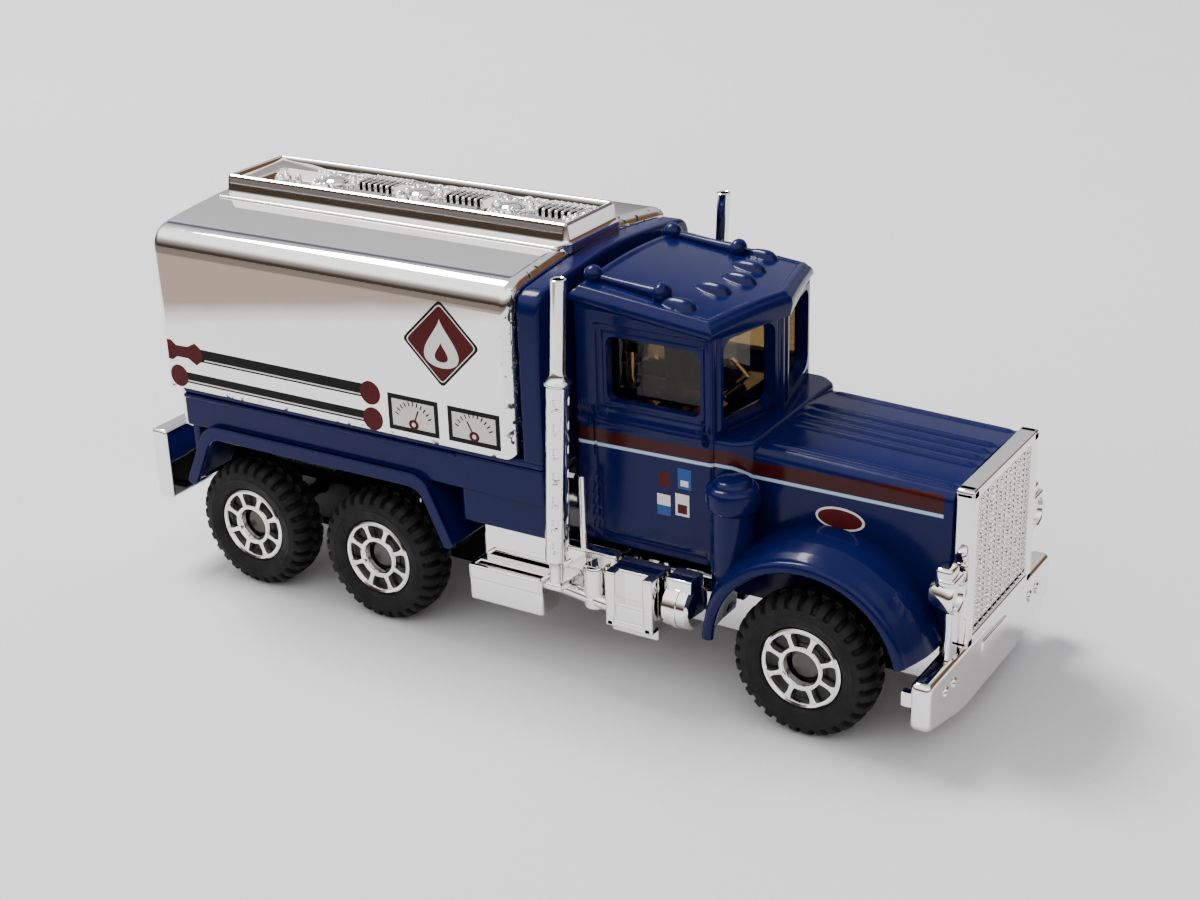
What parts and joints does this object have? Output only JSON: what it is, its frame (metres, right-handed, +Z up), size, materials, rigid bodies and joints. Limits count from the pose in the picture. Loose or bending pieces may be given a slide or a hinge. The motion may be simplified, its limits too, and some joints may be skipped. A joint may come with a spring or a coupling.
{
  "type": "toy tanker truck",
  "caption": "Toy tanker truck with a plated tank on a painted long-nose cab and bed, plated trim and free-rolling wheels.",
  "frame": {"origin": "on the floor under the middle of the truck's length and width", "axes": "+X towards the front of the truck, +Y to its left, +Z up"},
  "size_m": [0.0764, 0.0284, 0.0353],
  "materials": {
    "blue_enamel": "deep glossy blue enamel over a zinc casting",
    "plated_trim": "bright mirror plating over moulded plastic",
    "tyre_rubber": "matt black with knobbly shoulders",
    "amber_glazing": "smoky amber clear plastic",
    "axle_steel": "plain drawn steel pin"
  },
  "bodies": {
    "truck": {"body_casting": "blue_enamel", "tank_shell": "plated_trim", "window_glazing": "amber_glazing", "cab_interior": "plated_trim", "base_pan": "plated_trim", "grille": "plated_trim", "front_bumper": "plated_trim", "rear_bumper": "plated_trim", "headlamp_right": "plated_trim", "exhaust_stack_right": "plated_trim", "step_box_right": "plated_trim", "side_bracket_right": "plated_trim", "tool_box_right": "plated_trim", "fuel_tank_right": "plated_trim", "headlamp_left": "plated_trim", "exhaust_stack_left": "plated_trim", "step_box_left": "plated_trim", "side_bracket_left": "plated_trim", "tool_box_left": "plated_trim", "fuel_tank_left": "plated_trim", "axle_front": "axle_steel", "axle_middle": "axle_steel", "axle_rear": "axle_steel"},
    "wheel_front_right": {"wheel_disc_front_right": "plated_trim", "tyre_front_right": "tyre_rubber"},
    "wheel_front_left": {"wheel_disc_front_left": "plated_trim", "tyre_front_left": "tyre_rubber"},
    "wheel_middle_right": {"wheel_disc_middle_right": "plated_trim", "tyre_middle_right": "tyre_rubber"},
    "wheel_middle_left": {"wheel_disc_middle_left": "plated_trim", "tyre_middle_left": "tyre_rubber"},
    "wheel_rear_right": {"wheel_disc_rear_right": "plated_trim", "tyre_rear_right": "tyre_rubber"},
    "wheel_rear_left": {"wheel_disc_rear_left": "plated_trim", "tyre_rear_left": "tyre_rubber"}
  },
  "joints": [
    {"name": "spin_front_right", "type": "hinge", "parent": "truck", "child": "wheel_front_right", "pos_m": [0.0271, -0.0108, 0.0059], "axis": [0, 1, 0], "continuous": true},
    {"name": "spin_front_left", "type": "hinge", "parent": "truck", "child": "wheel_front_left", "pos_m": [0.0271, 0.0108, 0.0059], "axis": [0, 1, 0], "continuous": true},
    {"name": "spin_middle_right", "type": "hinge", "parent": "truck", "child": "wheel_middle_right", "pos_m": [-0.01325, -0.0108, 0.0059], "axis": [0, 1, 0], "continuous": true},
    {"name": "spin_middle_left", "type": "hinge", "parent": "truck", "child": "wheel_middle_left", "pos_m": [-0.01325, 0.0108, 0.0059], "axis": [0, 1, 0], "continuous": true},
    {"name": "spin_rear_right", "type": "hinge", "parent": "truck", "child": "wheel_rear_right", "pos_m": [-0.02735, -0.0108, 0.0059], "axis": [0, 1, 0], "continuous": true},
    {"name": "spin_rear_left", "type": "hinge", "parent": "truck", "child": "wheel_rear_left", "pos_m": [-0.02735, 0.0108, 0.0059], "axis": [0, 1, 0], "continuous": true}
  ]
}
